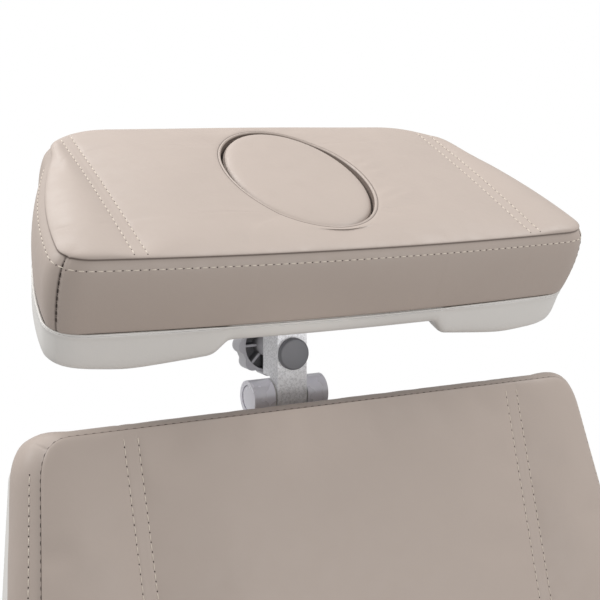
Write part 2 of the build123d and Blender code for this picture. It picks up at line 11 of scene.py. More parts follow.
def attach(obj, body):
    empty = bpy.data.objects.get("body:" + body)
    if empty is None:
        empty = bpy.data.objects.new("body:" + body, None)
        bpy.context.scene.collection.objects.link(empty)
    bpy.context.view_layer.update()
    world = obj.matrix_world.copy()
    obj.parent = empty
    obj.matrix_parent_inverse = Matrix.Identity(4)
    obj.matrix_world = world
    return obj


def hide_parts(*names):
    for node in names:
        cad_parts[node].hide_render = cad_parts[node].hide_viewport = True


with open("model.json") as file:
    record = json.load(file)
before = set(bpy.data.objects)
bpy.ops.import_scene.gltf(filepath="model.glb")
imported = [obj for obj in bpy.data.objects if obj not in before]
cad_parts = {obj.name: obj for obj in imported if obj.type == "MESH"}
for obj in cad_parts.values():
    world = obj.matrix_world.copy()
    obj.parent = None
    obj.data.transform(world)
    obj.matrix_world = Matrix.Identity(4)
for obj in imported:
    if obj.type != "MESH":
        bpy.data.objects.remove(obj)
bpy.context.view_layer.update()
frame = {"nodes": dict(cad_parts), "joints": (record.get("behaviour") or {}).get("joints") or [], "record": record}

# A treatment chair's looks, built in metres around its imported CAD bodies.

MM = 0.001
scene = bpy.context.scene


# ---- directions taken from the frame ------------------------------------------------------
def joint(name):
    return next(j for j in frame["joints"] if j["name"] == name)


def face_axes(along):
    """The direction along a padded face and the one out of it, both in the YZ plane."""
    along = Vector(along).normalized()
    return along, Vector((0, -along.z, along.y))


back_along, back_out = face_axes(joint("headrest_height")["axis"])
head_out = Vector(joint("plug_lift")["axis"]).normalized()
head_along = Vector((0, head_out.z, -head_out.y))
leg_down = math.radians(joint("leg_raise")["range_deg"][1])
leg_along = Vector((0, -math.cos(leg_down), -math.sin(leg_down)))
leg_out = Vector((0, -math.sin(leg_down), math.cos(leg_down)))
lower_hinge = Vector(joint("headrest_reach")["pos_m"])


class Site:
    """A soft node's own axes: x across, a along its face from the low end, n out of the face."""

    def __init__(self, node, along, out):
        points = [v.co for v in frame["nodes"][node].data.vertices]
        across = [p.x for p in points]
        lengthwise = [p.dot(along) for p in points]
        height = [p.dot(out) for p in points]
        self.along, self.out = along, out
        self.half = (max(across) - min(across)) / 2
        self.length = max(lengthwise) - min(lengthwise)
        self.thick = max(height) - min(height)
        middle = (max(across) + min(across)) / 2
        self.origin = Vector((middle, 0, 0)) + along * min(lengthwise) + out * max(height)

    def at(self, x, a, n):
        """A place given in the node's own axes."""
        return self.origin + self.turned(x, a, n)

    def turned(self, x, a, n):
        """A direction given in the node's own axes."""
        return Vector((x, 0, 0)) + self.along * a + self.out * n


# ---- small maths --------------------------------------------------------------------------
def smooth(t):
    t = min(1.0, max(0.0, t))
    return t * t * (3 - 2 * t)


def mix(a, b, t):
    return a + (b - a) * t


def bell(distance, width):
    return math.exp(-((distance / width) ** 2))


def roll(distance, width, depth):
    """How far a face has dropped at a distance from its edge."""
    q = max(0.0, 1 - distance / width)
    return depth * (1 - math.sqrt(max(0.0, 1 - q * q)))


def lines(stops, size):
    """Grid line positions: every stop, with even steps of about size between them."""
    out = [stops[0]]
    for low, high in zip(stops, stops[1:]):
        count = max(1, round((high - low) / size))
        out += [low + (high - low) * (k + 1) / count for k in range(count)]
    return out


def mirrored(stops):
    """Stops on both sides of zero."""
    return sorted({round(s, 6) for v in stops for s in (v, -v)})


# ---- mesh building ------------------------------------------------------------------------
def skin(bm, grid):
    """Quads over a grid of vertices, leaving its hole open."""
    for r0, r1 in zip(grid, grid[1:]):
        for k in range(len(r0) - 1):
            quad = (r0[k], r0[k + 1], r1[k + 1], r1[k])
            if all(quad):
                bm.faces.new(quad)


def wrap(bm, low, high):
    """A strip of quads between two closed rings."""
    count = len(low)
    for k in range(count):
        following = (k + 1) % count
        bm.faces.new((low[k], low[following], high[following], high[k]))


def outline(grid):
    """The outermost vertices of a grid, once round."""
    front, rear = grid[0][:], grid[-1][-2::-1]
    return front + [row[-1] for row in grid[1:]] + rear + [row[0] for row in grid[-2:0:-1]]


def outward(points):
    """The direction out of a closed plan outline, at each of its points."""
    count = len(points)
    along = [points[(k + 1) % count] - points[k - 1] for k in range(count)]
    return [Vector((t.y, -t.x)).normalized() for t in along]


def new_object(name, bm):
    """Hands a bmesh over to a new object in the scene."""
    mesh = bpy.data.meshes.new(name)
    bm.to_mesh(mesh)
    bm.free()
    obj = bpy.data.objects.new(name, mesh)
    scene.collection.objects.link(obj)
    return obj


# ---- sewn covers --------------------------------------------------------------------------
# Grid lines to each side of a lengthwise seam; the cloth is held up to the fourth.
SEAM_BAND = (2.5 * MM, 4.5 * MM, 5.6 * MM, 6.7 * MM, 9 * MM)
GROOVE_WIDTH, GROOVE_DEPTH = 1.5 * MM, 0.7 * MM
CHANNEL_WIDTH, CHANNEL_DEPTH = 11 * MM, 0.7 * MM
SEAM_FADE = 22 * MM

# The sewn band round an opening, and its seam's distance from the rim.
HOLE_BAND, HOLE_SEAM = 8 * MM, 3.4 * MM

# The top of a side band, as (drop, step out, painted seam shade): a tuck below the face seam.
TUCK = ((0.7 * MM, -1.0 * MM, 1.0), (1.9 * MM, -1.0 * MM, 0.7), (3.0 * MM, 0.2 * MM, 0.0))
CORNER_TUCK = 1.3 * MM
BAND_STEP = 0.2 * MM
BAND_PIN = 0.35
EDGE_ROLL = (18 * MM, 5 * MM)

# An oval opening: its radii and centre, the box of grid that bends round it, and the shares of that
# box at its rim and at the outer edge of its sewn band.
Opening = namedtuple("Opening", "rx ra centre box_x box_a inner outer")


class Cover:
    """A boxed cushion cover: a face sewn to a side band, closed underneath.

    Its face is laid out on a rectangle, site.length by twice the half width. plan() bends that to the
    real outline and height() gives it its shape. corners and bow are pairs for the low and the high end,
    bulge and taper pairs for the ends and the sides, and rolls are (width, depth) for the low end, the
    high end and the sides.
    """

    def __init__(
        self, site, name,
        side=None, corners=(30 * MM, 30 * MM), bow=(0, 0), end=lambda x: 0.0,
        seam=None, row_gap=5.6 * MM, hole=None, corner_seams=(), edge_shade=0.6,
        rolls=(EDGE_ROLL, EDGE_ROLL, EDGE_ROLL), crown=3 * MM, bolster=0.0,
        bulge=(3 * MM, 3 * MM), taper=(0.0, 0.0), rake=0.0,
        held=lambda a: 0.0, swelling=lambda a: 1.0,
        cell=7 * MM, extra=(),
    ):
        self.site, self.name = site, name
        self.side = side or (lambda a: site.half)
        self.half = max(self.side(0), self.side(site.length))
        self.corners, self.bow, self.end = corners, bow, end
        self.seam, self.row_gap, self.hole = seam, row_gap, hole
        self.corner_seams, self.edge_shade = corner_seams, edge_shade
        self.rolls, self.crown, self.bolster = rolls, crown, bolster
        self.bulge, self.taper, self.rake = bulge, taper, rake
        self.held, self.swelling = held, swelling
        self.cell, self.extra = cell, extra
        self.corner_rows = []

    # rectangle space to plan ---------------------------------------------------------------
    def rounded(self, x, a):
        """Turns the square corners of the rectangle into arcs."""
        low, high = self.corners
        for radius, end, sign in ((low, low, -1), (high, self.site.length - high, 1)):
            p = abs(x) - (self.half - radius)
            q = (a - end) * sign
            if p > 0 and q > 0:
                scale = max(p, q) / math.hypot(p, q)
                return math.copysign(self.half - radius + p * scale, x), end + sign * q * scale
        return x, a

    def holed(self, x, a):
        """Bends the grid around the oval hole; returns the place and the distance out from the hole."""
        rx, ra, centre, bx, ba, inner, outer = self.hole
        p, q = x / bx, (a - centre) / ba
        r = max(abs(p), abs(q))
        if r >= 1 or r < 1e-6:
            return x, a, None
        d = Vector((p, q)) / math.hypot(p, q)
        g = HOLE_BAND * (r - inner) / (outer - inner)
        if r <= outer:
            return d.x * (rx + g), centre + d.y * (ra + g), g
        t = (r - outer) / (1 - outer)
        ring = Vector((
            d.x * mix(rx + HOLE_BAND, bx, t),
            d.y * mix(ra + HOLE_BAND, ba, t),
        ))
        flat = Vector((x, a - centre))
        placed = ring.lerp(flat, smooth(t))
        return placed.x, centre + placed.y, None

    def plan(self, x, a):
        """Rectangle space to the real outline."""
        gap = None
        if self.hole:
            x, a, gap = self.holed(x, a)
        x, a = self.rounded(x, a)
        half = self.side(a)
        start = self.seam + SEAM_BAND[-1] if self.seam else self.half * 0.5
        if abs(x) > start:
            x = math.copysign(start + (abs(x) - start) * (half - start) / (self.half - start), x)
        low, high = self.bow
        share = (x / self.half) ** 2
        t = a / self.site.length
        a += mix(low * share, -high * share, t) - self.end(x) * t
        return x, a, gap

    def height(self, x, a, gap):
        """Height of the face over its flat: edge rolls, crown, bolsters, seams and the hole's rim."""
        length = self.site.length
        edges = (a, length - a, self.half - abs(x))
        n = -math.sqrt(sum(roll(edge, *size) ** 2 for edge, size in zip(edges, self.rolls)))
        lengthwise = math.sin(math.pi * min(1, max(0, a / length)))
        n += self.crown * (1 - (x / self.half) ** 2) * lengthwise
        if self.seam:
            d = abs(x) - self.seam
            fade = smooth(min(a, length - a) / SEAM_FADE)
            if d > 0:
                sideways = math.sin(math.pi * min(1, d / (self.half - self.seam)))
                n += self.bolster * sideways * lengthwise ** 0.5
            groove = GROOVE_DEPTH * bell(abs(d) - self.row_gap, GROOVE_WIDTH)
            n -= fade * (groove + CHANNEL_DEPTH * bell(d, CHANNEL_WIDTH))
        if gap is not None:
            n -= 1.2 * MM * bell(gap - HOLE_SEAM, 1.1 * MM) + roll(gap, HOLE_SEAM, 2 * MM)
        return n

    # grid ----------------------------------------------------------------------------------
    def stops(self):
        """Grid lines across and along, with extra ones at the seams, corners and hole."""
        length = self.site.length
        across = [self.half - d for d in (self.half, 0, 2 * MM, 6 * MM, max(self.corners))]
        along = [0, 2 * MM, 6 * MM, self.corners[0]]
        along += [length - d for d in (self.corners[1], 6 * MM, 2 * MM, 0)]
        across += self.extra
        if self.seam:
            across += [self.seam] + [self.seam + s * b for b in SEAM_BAND for s in (1, -1)]
        if self.hole:
            hole = self.hole
            rings = [0.2] + [(HOLE_SEAM + d) / HOLE_BAND for d in (-1.6 * MM, 0, 1.6 * MM)]
            bands = [hole.inner, hole.outer, 1]
            bands += [hole.inner + (hole.outer - hole.inner) * share for share in rings]
            across += [hole.box_x * b for b in bands]
            along += [hole.centre + s * hole.box_a * b for b in bands for s in (1, -1)]
        along = sorted({round(v, 6) for v in along if 0 <= v <= length})
        return lines(mirrored(across), self.cell), lines(along, self.cell)

    def build(self):
        """Builds the closed cover in place, with the cloth's pin weights in self.weights."""
        site = self.site
        cols, rows = self.stops()
        self.bm = bmesh.new()
        self.shade_mark = self.bm.verts.layers.float.new("seam")
        self.pins = {}
        grid = [[self.face_vertex(x, a) for x in cols] for a in rows]
        skin(self.bm, grid)
        edge = outline(grid)
        under = dict(zip(edge, self.band(edge)))
        self.edge = [v.co.copy() for v in edge]
        if self.hole:
            rim = self.hole_loop(grid, cols, rows)
            under.update(zip(rim, self.liner(rim)))
        self.close_under(grid, under)
        self.weights = [self.pins[v] for v in self.bm.verts]
        for v in self.bm.verts:
            v.co.y *= 1 + self.rake * v.co.z / site.thick
            v.co = site.at(*v.co)
        bmesh.ops.recalc_face_normals(self.bm, faces=self.bm.faces)
        self.object = new_object(self.name, self.bm)

    def face_vertex(self, x, a):
        """One vertex of the face, with its painted seam shade and its pin; none inside the hole."""
        if self.hole and self.inside(x, a):
            return None
        px, pa, gap = self.plan(x, a)
        v = self.bm.verts.new((px, pa, self.height(x, a, gap)))
        shade_mark = 0.0
        if self.seam:
            shade_mark = 0.35 * bell(abs(abs(x) - self.seam) - self.row_gap, 1.2 * MM)
        if gap is not None:
            # Painted shade at the hole's seam and at its rim.
            shade_mark = max(shade_mark, bell(gap - HOLE_SEAM, 0.9 * MM), smooth(1 - gap / (1.2 * MM)))
        v[self.shade_mark] = shade_mark
        near_seam = self.seam and abs(abs(x) - self.seam) <= SEAM_BAND[3] + 1e-5
        near_hole = gap is not None and gap <= HOLE_SEAM + 2 * MM
        self.pins[v] = 1.0 if near_seam or near_hole else self.held(a)
        return v

    def inside(self, x, a):
        """Whether a place of the rectangle lies within the hole's rim."""
        hole = self.hole
        return max(abs(x / hole.box_x), abs((a - hole.centre) / hole.box_a)) < hole.inner - 1e-4

    def close_under(self, grid, under):
        """A flat underside on the face's own grid, pulled in where the side band tapers."""
        pull_end, pull_side = (t + 1 * MM for t in self.taper)
        middle = self.site.length / 2
        for v in (v for row in grid for v in row):
            if v is not None and v not in under:
                x, a = v.co.x, v.co.y - middle
                x *= 1 - pull_side / self.half * abs(x / self.half) ** 6
                a *= 1 - pull_end / middle * abs(a / middle) ** 6
                under[v] = self.bm.verts.new((x, middle + a, -self.site.thick))
                self.pins[under[v]] = 1.0
        for r0, r1 in zip(grid, grid[1:]):
            for k in range(len(r0) - 1):
                quad = (r0[k], r1[k], r1[k + 1], r0[k + 1])
                if all(quad):
                    self.bm.faces.new([under[v] for v in quad])

    def hole_loop(self, grid, cols, rows):
        """The vertices of the hole's rim, once round."""
        def nearest(values, target):
            return min(range(len(values)), key=lambda i: abs(values[i] - target))

        hole = self.hole
        i0, i1 = (nearest(cols, s * hole.box_x * hole.inner) for s in (-1, 1))
        j0, j1 = (nearest(rows, hole.centre + s * hole.box_a * hole.inner) for s in (-1, 1))
        loop = [grid[j0][i] for i in range(i0, i1)] + [grid[j][i1] for j in range(j0, j1)]
        return loop + [grid[j1][i] for i in range(i1, i0, -1)] + [grid[j][i0] for j in range(j1, j0, -1)]

    def band(self, edge):
        """The side band: rings from the face seam to the underside, with a tucked seam line at the top."""
        thick = self.site.thick
        outs = outward([v.co for v in edge])
        top, steps = TUCK[-1][0], max(4, round(thick / (self.cell * 0.8)))
        profile = [*TUCK, *((mix(top, thick, (k + 1) / steps), BAND_STEP, 0.0) for k in range(steps))]
        cuts = {v: 0.0 for v in edge}
        for spot in self.corner_seams:
            near = min(edge, key=lambda v: (v.co.x - spot[0]) ** 2 + (v.co.y - spot[1]) ** 2)
            cuts[near] = 1.0
            self.corner_rows.append(self.corner_row(near.co, outs[edge.index(near)]))
        previous = edge
        for v in edge:
            self.pins[v] = 1.0
            # Painted shade along the face seam.
            v[self.shade_mark] = self.edge_shade
        for drop, out, shade_mark in profile:
            ring = []
            share = drop / thick
            swell = math.sin(math.pi * min(1, share) ** 0.75) ** 0.8 if top + 0.1 * MM < drop < thick else 0
            for v, o in zip(edge, outs):
                sideways = abs(o.x)
                out_here = out + swell * mix(*self.bulge, sideways) * self.swelling(v.co.y)
                out_here -= share * mix(*self.taper, sideways) + CORNER_TUCK * cuts[v]
                n = v.co.z - drop * (thick + v.co.z) / thick
                w = self.bm.verts.new((v.co.x + o.x * out_here, v.co.y + o.y * out_here, n))
                # Painted shade in the tuck and down each corner seam.
                w[self.shade_mark] = max(shade_mark, cuts[v])
                self.pins[w] = 1.0 if drop < 4 * MM or drop > thick - 12 * MM else BAND_PIN
                ring.append(w)
            wrap(self.bm, previous, ring)
            previous = ring
        return previous

    def liner(self, rim):
        """The wall of the oval hole, straight down to the underside."""
        previous, thick = rim, self.site.thick
        for drop in (3 * MM, 8 * MM, 20 * MM, 40 * MM, thick):
            ring = []
            for v in rim:
                w = self.bm.verts.new((v.co.x, v.co.y, -thick if drop == thick else v.co.z - drop))
                # Painted shade down the hole's wall.
                w[self.shade_mark] = 0.8
                self.pins[w] = 1.0
                ring.append(w)
            for k in range(len(rim)):
                following = (k + 1) % len(rim)
                self.bm.faces.new((previous[following], previous[k], ring[k], ring[following]))
            previous = ring
        return previous

    # paths for stitches --------------------------------------------------------------------
    def seam_rows(self, inset=4 * MM, steps=40):
        """Both stitch rows of both lengthwise seams, as points over the face and the way down to it."""
        rows = []
        for x in mirrored((self.seam - self.row_gap, self.seam + self.row_gap)):
            row = []
            for k in range(steps + 1):
                px, pa, _ = self.plan(x, mix(inset, self.site.length - inset, k / steps))
                row.append((self.site.at(px, pa, 0), -self.site.out))
            rows.append(row)
        return rows

    def corner_row(self, place, out, low=7 * MM):
        """A path down the side band from a point of its top seam."""
        inward = -self.site.turned(out.x, out.y, 0)
        drops = (low, self.site.thick - low)
        return [(self.site.at(place.x, place.y, -d), inward) for d in drops]

    def band_row(self, drop, keep=lambda x, a: True):
        """Paths around the side band at one depth, broken where keep says no."""
        outs = outward(self.edge)
        paths, path = [], []
        for p, o in zip(self.edge + self.edge[:1], outs + outs[:1]):
            if keep(p.x, p.y):
                path.append((self.site.at(p.x, p.y, p.z - drop), -self.site.turned(o.x, o.y, 0)))
            elif path:
                paths.append(path)
                path = []
        return [p for p in paths + [path] if len(p) > 1]


CLOTH_FRAMES = 20


def puff(cover, pressure, cap, slack=0.004):
    """Swells a cover by cloth simulation, seams held, no point moving further than cap."""
    obj = cover.object
    group = obj.vertex_groups.new(name="pin")
    for i, w in enumerate(cover.weights):
        if w > 0:
            group.add([i], w, "REPLACE")
    cloth = obj.modifiers.new("Cloth", "CLOTH")
    s = cloth.settings
    s.quality, s.mass = 4, 0.2
    s.tension_stiffness = s.compression_stiffness = 20
    s.shear_stiffness, s.bending_stiffness = 8, 6
    s.use_pressure, s.uniform_pressure_force = True, pressure
    s.effector_weights.gravity = 0
    s.vertex_group_mass, s.pin_stiffness = "pin", 1.0
    s.shrink_min = -slack
    cloth.collision_settings.use_collision = False
    cloth.point_cache.frame_start, cloth.point_cache.frame_end = 1, CLOTH_FRAMES
    for f in range(1, CLOTH_FRAMES + 1):
        scene.frame_set(f)
    shaped = obj.evaluated_get(bpy.context.evaluated_depsgraph_get()).to_mesh()
    moved = [v.co.copy() for v in shaped.vertices]
    obj.modifiers.remove(cloth)
    scene.frame_set(1)
    for v, new in zip(obj.data.vertices, moved):
        step = new - v.co
        free = 1 - cover.weights[v.index]
        if step.length > 1e-9 and free > 0:
            v.co += step * min(1.0, cap / step.length) * free


def smooth_apply(obj):
    """Subdivides the mesh once for good, bakes in its other modifiers as well while leaving them on the object,
    and shades it smooth.
    """
    sub = obj.modifiers.new("Subdivision", "SUBSURF")
    sub.levels = sub.render_levels = 1
    shaped = obj.evaluated_get(bpy.context.evaluated_depsgraph_get())
    mesh = bpy.data.meshes.new_from_object(shaped)
    mesh.name = obj.name
    obj.modifiers.remove(sub)
    obj.data = mesh
    for p in obj.data.polygons:
        p.use_smooth = True


def crease(obj, start, end, depth, width):
    """Presses a short soft fold into a cover between two points."""
    line = end - start
    for v in obj.data.vertices:
        t = (v.co - start).dot(line) / line.length_squared
        if -0.2 < t < 1.2:
            away = (v.co - start - line * t).length
            if away < 4 * width:
                fade = math.sin(math.pi * min(1, max(0, t))) ** 0.7 if 0 < t < 1 else 0
                ridge = bell(away, width) - 0.6 * bell(away - 1.7 * width, width)
                v.co -= v.normal * depth * fade * ridge


# ---- stitches -----------------------------------------------------------------------------
# A thread from end to end: share of its length, of its radius, and of its lift off the surface.
THREAD_RINGS = ((0.0, 0.35, -1.2), (0.18, 0.9, 0.2), (0.5, 1.0, 0.6), (0.82, 0.9, 0.2), (1.0, 0.35, -1.2))
THREAD_SIDES = 6
THREAD_LIFT = 0.25 * MM
HOLE_SIDES = 8
STITCH_GAP = 2.4 * MM
CAST_FROM = 30 * MM


def spoke(side, other, k, count):
    """The k-th of count directions round a circle."""
    angle = math.tau * k / count
    return side * math.cos(angle) + other * math.sin(angle)


class Sewing:
    """Threads, and needle holes of painted shade, laid on a cover's surface along paths."""

    def __init__(self, name, cover_object):
        self.name = name
        self.tree = BVHTree.FromPolygons(
            [v.co for v in cover_object.data.vertices],
            [p.vertices for p in cover_object.data.polygons],
        )
        self.threads, self.holes = bmesh.new(), bmesh.new()

    def run(self, path, pitch=8 * MM, thread=0.55 * MM, hole=0.75 * MM, dark=False):
        """Stitches along a path, with needle holes of painted shade between them; dark ones join the holes' mesh,
        as painted shade.
        """
        total, marks = 0.0, [0.0]
        for a, b in zip(path, path[1:]):
            total += (b[0] - a[0]).length
            marks.append(total)
        count = max(1, int(total / pitch))

        def at(distance):
            k = max(i for i in range(len(marks)) if marks[i] <= distance + 1e-9)
            k = min(k, len(path) - 2)
            t = (distance - marks[k]) / max(1e-9, marks[k + 1] - marks[k])
            place = path[k][0].lerp(path[k + 1][0], t)
            inward = path[k][1].lerp(path[k + 1][1], t).normalized()
            return self.tree.ray_cast(place - inward * CAST_FROM, inward)[:2]

        for k in range(count):
            a, up_a = at(k * pitch + STITCH_GAP / 2)
            b, up_b = at((k + 1) * pitch - STITCH_GAP / 2)
            self.capsule(self.holes if dark else self.threads, a, b, (up_a + up_b).normalized(), thread)
            self.dot(self.holes, *at(k * pitch), hole)

    def capsule(self, bm, a, b, up, radius):
        """One thread from a to b, arched over the surface with its ends in it."""
        along = (b - a).normalized()
        side = along.cross(up).normalized()
        spokes = [spoke(side, up, k, THREAD_SIDES) for k in range(THREAD_SIDES)]
        rings = []
        for t, share, rise in THREAD_RINGS:
            centre = a.lerp(b, t) + up * (THREAD_LIFT * rise)
            rings.append([bm.verts.new(centre + s * radius * share) for s in spokes])
        for low, high in zip(rings, rings[1:]):
            wrap(bm, low, high)
        bm.faces.new(rings[0][::-1])
        bm.faces.new(rings[-1])

    def dot(self, bm, centre, up, radius):
        """A needle hole, as a dark lens of painted shade sunk in the surface."""
        side = up.orthogonal().normalized()
        spokes = [spoke(side, up.cross(side), k, HOLE_SIDES) for k in range(HOLE_SIDES)]
        top = bm.verts.new(centre + up * 0.16 * MM)
        ring = [bm.verts.new(centre + s * radius) for s in spokes]
        low = bm.verts.new(centre - up * 0.6 * MM)
        for k in range(HOLE_SIDES):
            following = (k + 1) % HOLE_SIDES
            bm.faces.new((ring[k], ring[following], top))
            bm.faces.new((ring[following], ring[k], low))

    def finish(self, body):
        """Turns the threads, and the needle holes and dark stitches of painted shade, into two pieces on a body.
        """
        for bm, suffix, material in (
            (self.threads, "thread", thread_material),
            (self.holes, "needle_hole_shades", hole_shade_material),
        ):
            bmesh.ops.recalc_face_normals(bm, faces=bm.faces)
            obj = new_object(f"{self.name}_{suffix}", bm)
            for p in obj.data.polygons:
                p.use_smooth = True
            dress(obj, material, body)


def dress(obj, material, body):
    """Gives a piece its look and the body it moves with."""
    obj.data.materials.clear()
    obj.data.materials.append(material)
    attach(obj, body)


# ---- materials ----------------------------------------------------------------------------
class Look:
    """A node material built up from a principled shader and generated noise."""

    def __init__(self, name, colour, roughness, metallic=0.0):
        self.material = bpy.data.materials.new(name)
        self.material.use_nodes = True
        self.tree = self.material.node_tree
        self.shader = self.tree.nodes["Principled BSDF"]
        self.base = (*colour, 1)
        self.shader.inputs["Base Color"].default_value = self.base
        self.shader.inputs["Roughness"].default_value = roughness
        self.shader.inputs["Metallic"].default_value = metallic
        self.place = self.node("ShaderNodeTexCoord").outputs["Object"]
        self.normal = None

    def node(self, kind, **values):
        """A new node; values name its inputs where it has them, and its properties otherwise."""
        node = self.tree.nodes.new(kind)
        for key, value in values.items():
            if key in node.inputs:
                node.inputs[key].default_value = value
            else:
                setattr(node, key, value)
        return node

    def link(self, a, b):
        self.tree.links.new(a, b)

    def noise(self, scale, detail=3.0, roughness=0.55):
        node = self.node("ShaderNodeTexNoise", Scale=scale, Detail=detail, Roughness=roughness)
        self.link(self.place, node.inputs["Vector"])
        return node.outputs["Fac"]

    def cells(self, scale, feature="DISTANCE_TO_EDGE"):
        node = self.node("ShaderNodeTexVoronoi", feature=feature, Scale=scale)
        self.link(self.place, node.inputs["Vector"])
        return node.outputs["Distance"]

    def ramp(self, value, low, high, out_low=0.0, out_high=1.0):
        """A value taken from the range low to high over to another range."""
        node = self.node("ShaderNodeMapRange")
        for key, v in zip(("From Min", "From Max", "To Min", "To Max"), (low, high, out_low, out_high)):
            node.inputs[key].default_value = v
        self.link(value, node.inputs["Value"])
        return node.outputs["Result"]

    def tint(self, factor, colour):
        """Mixes towards a colour by a factor, over what is there."""
        node = self.node("ShaderNodeMix", data_type="RGBA")
        under = self.shader.inputs["Base Color"]
        if under.is_linked:
            self.link(under.links[0].from_socket, node.inputs["A"])
        else:
            node.inputs["A"].default_value = self.base
        node.inputs["B"].default_value = (*colour, 1)
        self.link(factor, node.inputs["Factor"])
        self.link(node.outputs["Result"], under)

    def bump(self, height, strength, distance):
        """Adds a bump on top of any that is there."""
        node = self.node("ShaderNodeBump", Strength=strength, Distance=distance)
        self.link(height, node.inputs["Height"])
        if self.normal:
            self.link(self.normal, node.inputs["Normal"])
        self.normal = node.outputs["Normal"]
        self.link(self.normal, self.shader.inputs["Normal"])

    def rough(self, value, low, high):
        """Varies the roughness between low and high with a noise."""
        self.link(self.ramp(value, 0.35, 0.65, low, high), self.shader.inputs["Roughness"])


def srgb(r, g, b):
    """An 8-bit display colour as linear light."""
    return tuple((c / 255 / 12.92) if c < 11 else ((c / 255 + 0.055) / 1.055) ** 2.4 for c in (r, g, b))


def darker(colour, share):
    return tuple(c * share for c in colour)


def leatherette(name, colour):
    look = Look(name, colour, 0.52)
    look.tint(look.ramp(look.noise(9, 4), 0.3, 0.7, 0.0, 0.22), darker(colour, 0.86))
    # Painted shade: the seam attribute darkens the colour to a deep brown in seam grooves, tucks, corner seams,
    # the hole's rim and wall and the plug's seam.
    seam = look.node("ShaderNodeAttribute", attribute_name="seam").outputs["Fac"]
    look.tint(look.ramp(seam, 0.55, 1.0, 0.0, 0.88), srgb(66, 52, 44))
    look.bump(look.cells(900), 0.10, 0.4 * MM)
    look.bump(look.noise(140, 3), 0.10, 1.2 * MM)
    look.rough(look.noise(60, 3), 0.46, 0.6)
    return look.material


def moulded_plastic(name, colour, roughness=0.38, metallic=0.0):
    look = Look(name, colour, roughness, metallic)
    look.tint(look.ramp(look.noise(7, 3), 0.35, 0.65, 0.0, 0.18), darker(colour, 0.92))
    look.bump(look.noise(1800, 2), 0.035, 0.3 * MM)
    look.rough(look.noise(30, 3), roughness - 0.05, roughness + 0.07)
    return look.material


def hollow_shade_plastic(name, colour):
    """Moulded plastic with painted shade darkening its hollows."""
    look = Look(name, colour, 0.42)
    shade = look.node("ShaderNodeAmbientOcclusion", samples=8, Distance=14 * MM)
    # Painted shade: ambient occlusion darkens the colour towards near-black in the hollows.
    look.tint(look.ramp(shade.outputs["AO"], 0.25, 0.8, 0.85, 0.0), darker(colour, 0.12))
    look.bump(look.noise(1800, 2), 0.035, 0.3 * MM)
    look.rough(look.noise(30, 3), 0.36, 0.48)
    return look.material


def hammered_metal(name, colour):
    look = Look(name, colour, 0.36, 0.1)
    speck = look.noise(460, 4, 0.75)
    look.tint(look.ramp(speck, 0.46, 0.58, 0.0, 0.52), darker(colour, 0.5))
    look.bump(look.cells(620, "F1"), 0.06, 0.3 * MM)
    look.bump(speck, 0.05, 0.2 * MM)
    return look.material


def drawn_steel(name, colour):
    look = Look(name, colour, 0.26, 0.9)
    look.rough(look.noise(160, 4), 0.2, 0.36)
    look.bump(look.noise(900, 3), 0.03, 0.2 * MM)
    return look.material


def powder_coat(name, colour):
    look = Look(name, colour, 0.5)
    look.bump(look.noise(1400, 3), 0.16, 0.4 * MM)
    look.tint(look.ramp(look.noise(12, 3), 0.35, 0.65, 0.0, 0.3), darker(colour, 0.85))
    return look.material


def soft_rubber(name, colour):
    look = Look(name, colour, 0.75)
    look.bump(look.noise(500, 4), 0.15, 0.5 * MM)
    look.rough(look.noise(40, 3), 0.68, 0.85)
    return look.material


def birch_ply(name):
    look = Look(name, srgb(196, 164, 118), 0.6)
    grain = look.node("ShaderNodeTexWave", Scale=14.0, Distortion=9.0, Detail=3.0)
    stretch = look.node("ShaderNodeMapping")
    stretch.inputs["Scale"].default_value = (1, 0.15, 6)
    look.link(look.place, stretch.inputs["Vector"])
    look.link(stretch.outputs["Vector"], grain.inputs["Vector"])
    look.tint(look.ramp(grain.outputs["Fac"], 0.2, 0.9, 0.0, 0.6), srgb(160, 122, 76))
    look.bump(look.noise(240, 4), 0.1, 0.4 * MM)
    return look.material


def thread_look():
    look = Look("thread", srgb(206, 196, 183), 0.7)
    look.bump(look.noise(2600, 2), 0.4, 0.2 * MM)
    return look.material


def needle_shade_look():
    # Painted shade: near-black brown for needle holes and dark seam stitches, standing in for the shadow in them.
    look = Look("needle_hole_shade", srgb(46, 36, 31), 0.9)
    look.bump(look.noise(2000, 2), 0.1, 0.1 * MM)
    return look.material


UPHOLSTERY = srgb(169, 156, 147)
looks = {
    "upholstery": leatherette("leatherette", UPHOLSTERY),
    "shell_plastic": moulded_plastic("shell_plastic", srgb(210, 207, 203)),
    "hammertone": hammered_metal("hammertone", srgb(240, 240, 242)),
    "bright_steel": drawn_steel("bright_steel", srgb(205, 205, 208)),
    "grey_plastic": moulded_plastic("grey_plastic", srgb(158, 157, 161), 0.45),
    "glide_plastic": moulded_plastic("glide_plastic", srgb(226, 223, 214), 0.5),
    "pedal_plastic": moulded_plastic("pedal_plastic", srgb(92, 94, 99), 0.5),
    "rubber": soft_rubber("rubber", srgb(46, 46, 48)),
    "plywood": birch_ply("plywood"),
    "drive_plastic": moulded_plastic("drive_plastic", srgb(70, 72, 76), 0.48),
    "frame_paint": powder_coat("frame_paint", srgb(168, 169, 172)),
}
satin_grey = moulded_plastic("satin_grey", srgb(232, 231, 238), 0.28, 0.2)
knob_grey_hollow_shade = hollow_shade_plastic("knob_grey_hollow_shade", srgb(186, 185, 189))
cap_grey = moulded_plastic("cap_grey", srgb(110, 110, 114), 0.42)
own_looks = {
    "headrest_post": satin_grey,
    "headrest_bracket": satin_grey,
    "hinge_pins": satin_grey,
    "lock_knob": knob_grey_hollow_shade,
    "lock_cap": cap_grey,
}
